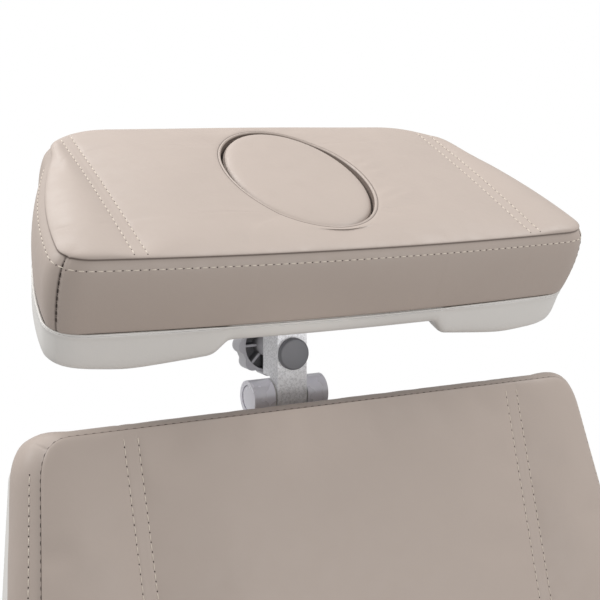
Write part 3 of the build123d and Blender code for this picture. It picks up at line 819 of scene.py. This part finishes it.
thread_material, hole_shade_material = thread_look(), needle_shade_look()


# ---- cushions -----------------------------------------------------------------------------
def tapering(near, far, start, end):
    """Half width along a cushion: near up to start, drawing in to far at end."""
    return lambda a: mix(near, far, min(1.0, max(0.0, (a - start) / (end - start))))


def sew(cover, body, paths, name, seam_paths=(), **options):
    """Cream top-stitching along paths, and small dark stitches of painted shade in the seams."""
    sewing = Sewing(name, cover.object)
    for path in paths:
        sewing.run(path, **options)
    for path in seam_paths:
        sewing.run(path, pitch=7 * MM, thread=0.65 * MM, hole=0.6 * MM, dark=True)
    sewing.finish(body)


def finish_cover(cover, body, node):
    """Dresses a cover and has it stand for its CAD node."""
    dress(cover.object, looks["upholstery"], body)
    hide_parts(node)


head_site = Site("headrest_cushion", head_along, head_out)
FACE_OPENING = (66.6 * MM, 93.6 * MM, 127.5 * MM)
HEAD_BOW = (9 * MM, 4 * MM)
REAR_CORNER = 6 * MM

# Folds beside the face opening, from and to, as (across, along from the opening's middle) in mm.
FOLDS = (((72, 18), (98, 30)), ((74, 4), (92, 8)), ((68, -52), (96, -36)))


def head_side(a):
    """Half width of the headrest, drawing in faster towards the rear."""
    front, drawn_in = head_site.half + 3 * MM, 46 * MM
    return front - drawn_in * min(1, max(0, a / head_site.length)) ** 2


def head_end(x):
    """How far the rear edge has curved forward, an elliptical arc at each corner."""
    straight, width, depth, sweep, proud = 148 * MM, 69 * MM, 60 * MM, 0.97, 3 * MM
    t = min(1.0, max(0.0, (abs(x) - straight) / width))
    return depth * (1 - math.sqrt(1 - (sweep * t) ** 2)) - proud


def headrest():
    site = head_site
    opening = Opening(*FACE_OPENING, box_x=150 * MM, box_a=110 * MM, inner=0.6, outer=0.7)
    front = site.half - 3 * MM
    cover = Cover(
        site, "headrest_cover", side=head_side, end=head_end, corners=(24 * MM, REAR_CORNER),
        bow=HEAD_BOW, seam=194 * MM, hole=opening, edge_shade=0.75,
        rolls=((9 * MM, 2.2 * MM), (16 * MM, 3 * MM), (9 * MM, 2.2 * MM)),
        crown=4.5 * MM, bolster=5 * MM, bulge=(3.5 * MM, 6.5 * MM), taper=(0.8 * MM, -2.5 * MM),
        corner_seams=[(side * front, 16 * MM) for side in (-1, 1)],
    )
    cover.build()
    puff(cover, 3.0, 4 * MM, slack=0.001)
    smooth_apply(cover.object)
    for fold in FOLDS:
        ends = [site.at(x * MM, opening.centre + a * MM, 0) for x, a in fold]
        crease(cover.object, *ends, depth=2.2 * MM, width=4.2 * MM)
    paths = cover.seam_rows() + cover.band_row(9 * MM, keep=lambda x, a: a < site.length - 60 * MM)
    sew(
        cover, "headrest", paths, "headrest_stitches", cover.corner_rows,
        pitch=7.2 * MM, thread=0.52 * MM, hole=0.62 * MM,
    )
    finish_cover(cover, "headrest", "headrest_cushion")


def back():
    site = Site("back_cushion", back_along, back_out)
    cover = Cover(
        site, "back_cover", side=tapering(site.half - 4 * MM, site.half - 30 * MM, 560 * MM, site.length),
        corners=(28 * MM, 28 * MM), seam=194.7 * MM, cell=11 * MM, row_gap=6.2 * MM,
        rolls=((70 * MM, 14 * MM), (10 * MM, 2 * MM), (10 * MM, 2.5 * MM)),
        bulge=(6.5 * MM, 17 * MM), taper=(0.0, -7 * MM), crown=2 * MM, bolster=4 * MM, edge_shade=1.0,
        swelling=lambda a: mix(0.7, 1.0, smooth((site.length - a) / (220 * MM))),
        held=lambda a: smooth((210 * MM - a) / (90 * MM)),
    )
    cover.build()
    puff(cover, 3.5, 9 * MM)
    smooth_apply(cover.object)
    paths = cover.seam_rows()
    paths += cover.band_row(8 * MM, keep=lambda x, a: 60 * MM < a < site.length - 20 * MM)
    seams = cover.band_row(1 * MM, keep=lambda x, a: a > 60 * MM)
    sew(cover, "back", paths, "back_stitches", seams, thread=0.48 * MM, hole=0.75 * MM)
    finish_cover(cover, "back", "back_cushion")


def seat():
    site = Site("seat_cushion", Vector((0, 1, 0)), Vector((0, 0, 1)))
    cover = Cover(
        site, "seat_cover", corners=(40 * MM, 30 * MM), seam=194.5 * MM, cell=11 * MM,
        rolls=((34 * MM, 12 * MM), (30 * MM, 9 * MM), (12 * MM, 3.5 * MM)),
        bulge=(2 * MM, 9 * MM), crown=4 * MM, bolster=6 * MM, rake=0.056, end=lambda x: 11 * MM,
        held=lambda a: smooth((a - site.length + 110 * MM) / (70 * MM)),
    )
    cover.build()
    puff(cover, 3.5, 9 * MM)
    smooth_apply(cover.object)
    paths = cover.seam_rows() + cover.band_row(8 * MM, keep=lambda x, a: a < site.length - 40 * MM)
    sew(cover, "seat", paths, "seat_stitches")
    finish_cover(cover, "seat", "seat_cushion")


def leg_rest():
    site = Site("leg_cushion", leg_along, leg_out)
    cover = Cover(
        site, "leg_cover", side=tapering(site.half, site.half - 52 * MM, 0, site.length),
        corners=(30 * MM, 30 * MM), seam=150 * MM, cell=10 * MM,
        rolls=((24 * MM, 8 * MM), (16 * MM, 5 * MM), (12 * MM, 3.5 * MM)),
        bulge=(3 * MM, 7 * MM), crown=4 * MM, bolster=5 * MM,
    )
    cover.build()
    puff(cover, 3.5, 8 * MM)
    smooth_apply(cover.object)
    paths = cover.seam_rows() + cover.band_row(8 * MM, keep=lambda x, a: a > 30 * MM)
    sew(cover, "leg", paths, "leg_stitches")
    finish_cover(cover, "leg", "leg_cushion")


def armrests():
    for side in ("left", "right"):
        node, body = f"armrest_pad_{side}", f"armrest_{side}"
        site = Site(node, Vector((0, 1, 0)), Vector((0, 0, 1)))
        cover = Cover(
            site, f"armrest_cover_{side}", corners=(20 * MM, 20 * MM), cell=6 * MM,
            rolls=((16 * MM, 5 * MM), (16 * MM, 5 * MM), (14 * MM, 4 * MM)),
            bulge=(1.5 * MM, 1.5 * MM), crown=2 * MM,
        )
        cover.build()
        puff(cover, 3.0, 3 * MM)
        smooth_apply(cover.object)
        sew(cover, body, cover.band_row(6 * MM), f"armrest_stitches_{side}", pitch=7 * MM)
        finish_cover(cover, body, node)


PLUG_SIDES = 72

# The plug's rings above this depth are lifted and sloped to follow the headrest's crowned face.
PLUG_TOP = 6 * MM
PLUG_LIFT, PLUG_SLOPE = 3.5 * MM, 2.4 * MM

# Its skirt and rolled edge from the bottom up: inset from the outline and height in mm, and painted seam shade.
PLUG_SKIRT = ((0, -24, 0), (0.1, -5, 0), (0.5, -3.4, 0.2), (1.4, -3, 1), (2.2, -1, 0.1), (5, 0.6, 0))


def face_plug():
    """The oval pad that fills the headrest's face opening, with a seam round its top edge."""
    site = Site("face_plug", head_along, head_out)
    rx, ra, middle = site.half - 1.5 * MM, site.length / 2 - 1 * MM, site.length / 2
    bm = bmesh.new()
    layer = bm.verts.layers.float.new("seam")

    def ring(inset, n, shade_mark, share=1.0):
        """An oval of vertices at a height, with one share of painted seam shade."""
        out = []
        for k in range(PLUG_SIDES):
            t = math.tau * k / PLUG_SIDES
            x, a = (rx - inset) * share * math.cos(t), (ra - inset) * share * math.sin(t)
            top = PLUG_LIFT + PLUG_SLOPE * a / ra if n > -PLUG_TOP else 0
            v = bm.verts.new((x, middle + a, n + top))
            v[layer] = shade_mark
            out.append(v)
        return out

    rings = [ring(0.6 * MM, -site.thick, 0), ring(0, -site.thick + 4 * MM, 0)]
    rings += [ring(inset * MM, n * MM, shade_mark) for inset, n, shade_mark in PLUG_SKIRT]
    for share in (0.85, 0.7, 0.55, 0.4, 0.27, 0.15):
        rings.append(ring(0, 1 * MM + 2.2 * MM * (1 - share ** 2), 0, share))
    for low, high in zip(rings, rings[1:]):
        wrap(bm, low, high)
    bm.faces.new(rings[0][::-1])
    bm.faces.new(rings[-1])
    bmesh.ops.recalc_face_normals(bm, faces=bm.faces)
    for v in bm.verts:
        v.co = site.at(*v.co)
    plug = new_object("face_plug_cover", bm)
    smooth_apply(plug)
    dress(plug, looks["upholstery"], "plug")
    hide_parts("face_plug")


# ---- hard parts ---------------------------------------------------------------------------
# The shell's wall from its bottom corner to its lip: share of the way up, and how far out in mm.
SHELL_WALL = ((0.3, 0.7), (0.65, 1.1), (0.8, 1.3), (0.86, 2.1), (0.96, 2.3), (1.0, 1.9))


def tray(name, plan, inset, rim, floor, radius, wall=2.6 * MM):
    """A thin moulded tray to a cover's plan: floor(x) is its underside, rim the height of its mouth."""
    site, middle = plan.site, plan.site.length / 2
    cols, rows = plan.stops()
    bm = bmesh.new()

    def vertex(x, a):
        if plan.inside(x, a):
            return None
        px, pa, _ = plan.plan(x, a)
        edges = (a, site.length - a, plan.half - abs(x))
        lift = math.sqrt(sum(roll(e, radius, radius) ** 2 for e in edges))
        n = floor(px) + min(lift, radius)
        across, along = 1 - inset[0] / plan.half, 1 - inset[1] / middle
        return bm.verts.new((px * across, middle + (pa - middle) * along, n))

    grid = [[vertex(x, a) for x in cols] for a in rows]
    skin(bm, grid)
    edge = previous = outline(grid)
    outs = outward([v.co for v in edge])
    for share, out in SHELL_WALL:
        ring = []
        for v, o in zip(edge, outs):
            place = (v.co.x + o.x * out * MM, v.co.y + o.y * out * MM, mix(v.co.z, rim, share))
            ring.append(bm.verts.new(place))
        wrap(bm, previous, ring)
        previous = ring
    for v in bm.verts:
        v.co = site.at(*v.co)
    bmesh.ops.recalc_face_normals(bm, faces=bm.faces)
    obj = new_object(name, bm)
    solid = obj.modifiers.new("Wall", "SOLIDIFY")
    solid.thickness, solid.offset = wall, -1
    smooth_apply(obj)
    return obj


FLOOR = -91 * MM
LOBE_START, LOBE_SLOPE, LOBE_DROP = 101 * MM, 17 * MM, 22.5 * MM
KEEL, KEEL_ROUND, KEEL_RISE = 190 * MM, 12 * MM, 0.12


def headrest_floor(x):
    """Underside of the headrest shell: level in the middle, a deeper keeled lobe at each side."""
    step = smooth((abs(x) - LOBE_START) / LOBE_SLOPE)
    keel = math.hypot(abs(x) - KEEL, KEEL_ROUND) - KEEL_ROUND
    return FLOOR - (LOBE_DROP - KEEL_RISE * keel) * step


def headrest_shell():
    rx, ra, centre = FACE_OPENING
    margin = 7 * MM
    opening = Opening(
        rx - margin, ra - margin, centre, box_x=105 * MM, box_a=108 * MM, inner=0.6, outer=0.75,
    )
    lobe_lines = [x * MM for x in range(96, 126, 4)]
    plan = Cover(
        head_site, "headrest_plan", side=head_side, end=head_end, corners=(28 * MM, REAR_CORNER),
        bow=HEAD_BOW, hole=opening, extra=lobe_lines, cell=9 * MM,
    )
    shell = tray(
        "headrest_tray", plan, inset=(-2.8 * MM, 1.2 * MM), rim=-71.5 * MM,
        floor=headrest_floor, radius=9 * MM,
    )
    dress(shell, looks["shell_plastic"], "headrest")
    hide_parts("headrest_shell")


def dress_nodes():
    """Every CAD node that still shows gets its slot's look and softly broken edges."""
    for part in frame["record"]["subparts"]:
        node = frame["nodes"][part["node"]]
        if node.hide_render:
            continue
        node.data.materials.clear()
        node.data.materials.append(own_looks.get(part["node"], looks[part["material_slot"]]))
        weld = node.modifiers.new("Weld", "WELD")
        weld.merge_threshold = 0.01 * MM
        bevel = node.modifiers.new("Bevel", "BEVEL")
        bevel.width, bevel.segments = 0.9 * MM, 2
        bevel.limit_method, bevel.angle_limit = "ANGLE", math.radians(35)
        for p in node.data.polygons:
            p.use_smooth = True
        normal = node.modifiers.new("Normals", "WEIGHTED_NORMAL")
        normal.keep_sharp = True


# ---- light and camera ---------------------------------------------------------------------
def hang(name, kind, place, target, watts):
    """A lamp that looks at a target."""
    data = bpy.data.lights.new(name, kind)
    data.energy = watts
    lamp = bpy.data.objects.new(name, data)
    lamp.location = place
    lamp.rotation_euler = (target - place).to_track_quat("-Z", "Y").to_euler()
    scene.collection.objects.link(lamp)
    return data


def softbox(name, place, target, size, watts):
    """A round soft lamp."""
    data = hang(name, "AREA", place, target, watts)
    data.shape, data.size = "DISK", size


def spot(name, place, target, degrees, watts):
    """A narrow soft beam."""
    data = hang(name, "SPOT", place, target, watts)
    data.spot_size, data.spot_blend = math.radians(degrees), 1.0
    data.shadow_soft_size = 60 * MM


def backdrop():
    """White all round: full white to the camera, softer as a light."""
    world = bpy.data.worlds.new("studio")
    scene.world = world
    world.use_nodes = True
    tree = world.node_tree
    back, path = tree.nodes["Background"], tree.nodes.new("ShaderNodeLightPath")
    level = tree.nodes.new("ShaderNodeMapRange")
    level.inputs["To Min"].default_value = 0.55
    level.inputs["To Max"].default_value = 1.0
    tree.links.new(path.outputs["Is Camera Ray"], level.inputs["Value"])
    tree.links.new(level.outputs["Result"], back.inputs["Strength"])
    back.inputs["Color"].default_value = (1, 1, 1, 1)


def studio():
    backdrop()
    focus = lower_hinge
    softbox("key", focus + Vector((1.3, -0.5, 2.1)), focus, 1.4, 31)
    softbox("top", focus + Vector((-0.5, 1.0, 2.0)), focus, 1.6, 26.5)
    softbox("low_fill", focus + Vector((0.7, -2.2, -0.4)), focus, 1.6, 17)
    softbox("side", focus + Vector((-1.9, 0.6, 1.6)), focus, 1.4, 35)
    spot("arm_fill", focus + Vector((-0.35, -0.95, 0.12)), focus + Vector((0, 0, 0.03)), 7, 13)


def camera():
    """A long lens a little above the headrest, from the occupant's right and in front."""
    data = bpy.data.cameras.new("camera")
    data.lens, data.sensor_width = 74.05, 36
    cam = bpy.data.objects.new("camera", data)
    yaw, pitch, tilt = (math.radians(v) for v in (27.554, -10.188, 0.736))
    ahead = Vector((math.sin(yaw) * math.cos(pitch), math.cos(yaw) * math.cos(pitch), math.sin(pitch)))
    level = ahead.cross(Vector((0, 0, 1))).normalized()
    right = level * math.cos(tilt) + level.cross(ahead) * math.sin(tilt)
    up = right.cross(ahead)
    cam.location = lower_hinge + Vector((-528.2, -1042.75, 303.34)) * MM
    cam.rotation_euler = Matrix((right, up, -ahead)).transposed().to_euler()
    scene.collection.objects.link(cam)
    scene.camera = cam


headrest()
headrest_shell()
face_plug()
back()
seat()
leg_rest()
armrests()
dress_nodes()
studio()
camera()
scene.view_settings.view_transform = "Standard"
